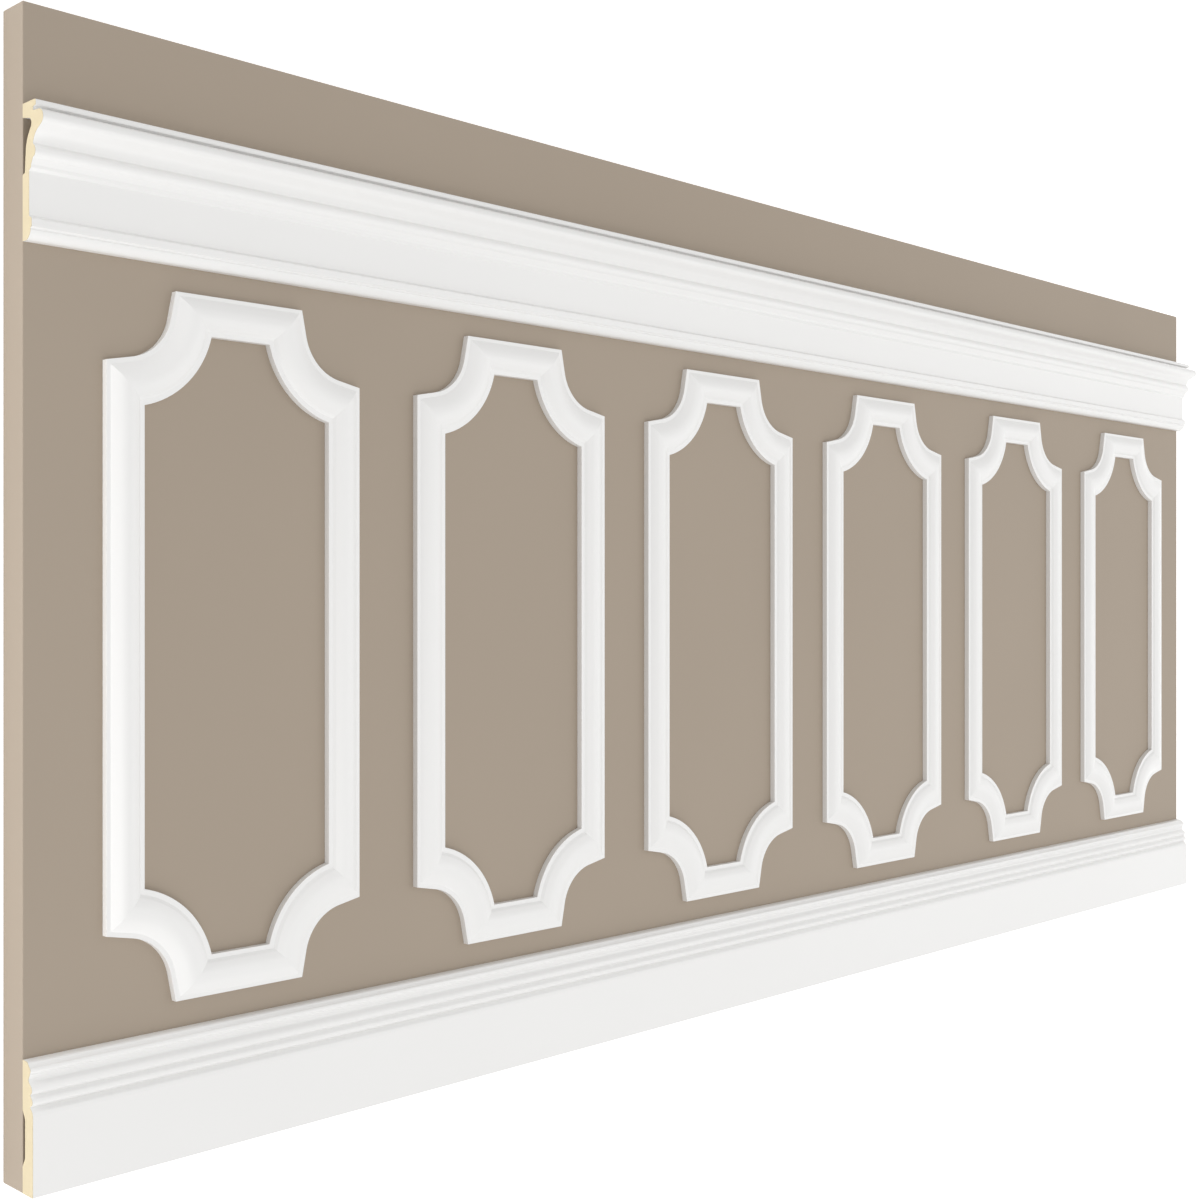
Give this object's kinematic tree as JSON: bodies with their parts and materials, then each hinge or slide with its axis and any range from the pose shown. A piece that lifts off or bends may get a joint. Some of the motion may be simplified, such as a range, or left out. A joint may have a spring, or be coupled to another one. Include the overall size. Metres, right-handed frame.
{
  "type": "wainscot panel",
  "caption": "Wainscot panel lying flat: a painted board faced with mitred, scoop-cornered moulding frames between a moulded chair rail and a grooved baseboard.",
  "frame": {"origin": "the middle of the panel's length and height, on the back face of the board, which it lies on", "axes": "+X along the length, to the right for someone who faces the panel; +Y up the panel's height, from the baseboard to the chair rail; +Z out of the moulded face"},
  "size_m": [2.4004, 1.121, 0.0803],
  "materials": {
    "board_paint": "flat taupe paint on a smooth board",
    "moulding_paint": "satin white paint on rigid foam moulding, bare cream foam at the cut ends"
  },
  "bodies": {
    "root": {"backing_board": "board_paint", "chair_rail": "moulding_paint", "baseboard": "moulding_paint", "panel_1_bottom_rail": "moulding_paint", "panel_1_right_stile": "moulding_paint", "panel_1_top_rail": "moulding_paint", "panel_1_left_stile": "moulding_paint", "panel_1_bottom_right_scoop": "moulding_paint", "panel_1_top_right_scoop": "moulding_paint", "panel_1_top_left_scoop": "moulding_paint", "panel_1_bottom_left_scoop": "moulding_paint", "panel_2_bottom_rail": "moulding_paint", "panel_2_right_stile": "moulding_paint", "panel_2_top_rail": "moulding_paint", "panel_2_left_stile": "moulding_paint", "panel_2_bottom_right_scoop": "moulding_paint", "panel_2_top_right_scoop": "moulding_paint", "panel_2_top_left_scoop": "moulding_paint", "panel_2_bottom_left_scoop": "moulding_paint", "panel_3_bottom_rail": "moulding_paint", "panel_3_right_stile": "moulding_paint", "panel_3_top_rail": "moulding_paint", "panel_3_left_stile": "moulding_paint", "panel_3_bottom_right_scoop": "moulding_paint", "panel_3_top_right_scoop": "moulding_paint", "panel_3_top_left_scoop": "moulding_paint", "panel_3_bottom_left_scoop": "moulding_paint", "panel_4_bottom_rail": "moulding_paint", "panel_4_right_stile": "moulding_paint", "panel_4_top_rail": "moulding_paint", "panel_4_left_stile": "moulding_paint", "panel_4_bottom_right_scoop": "moulding_paint", "panel_4_top_right_scoop": "moulding_paint", "panel_4_top_left_scoop": "moulding_paint", "panel_4_bottom_left_scoop": "moulding_paint", "panel_5_bottom_rail": "moulding_paint", "panel_5_right_stile": "moulding_paint", "panel_5_top_rail": "moulding_paint", "panel_5_left_stile": "moulding_paint", "panel_5_bottom_right_scoop": "moulding_paint", "panel_5_top_right_scoop": "moulding_paint", "panel_5_top_left_scoop": "moulding_paint", "panel_5_bottom_left_scoop": "moulding_paint", "panel_6_bottom_rail": "moulding_paint", "panel_6_right_stile": "moulding_paint", "panel_6_top_rail": "moulding_paint", "panel_6_left_stile": "moulding_paint", "panel_6_bottom_right_scoop": "moulding_paint", "panel_6_top_right_scoop": "moulding_paint", "panel_6_top_left_scoop": "moulding_paint", "panel_6_bottom_left_scoop": "moulding_paint"}
  },
  "joints": []
}
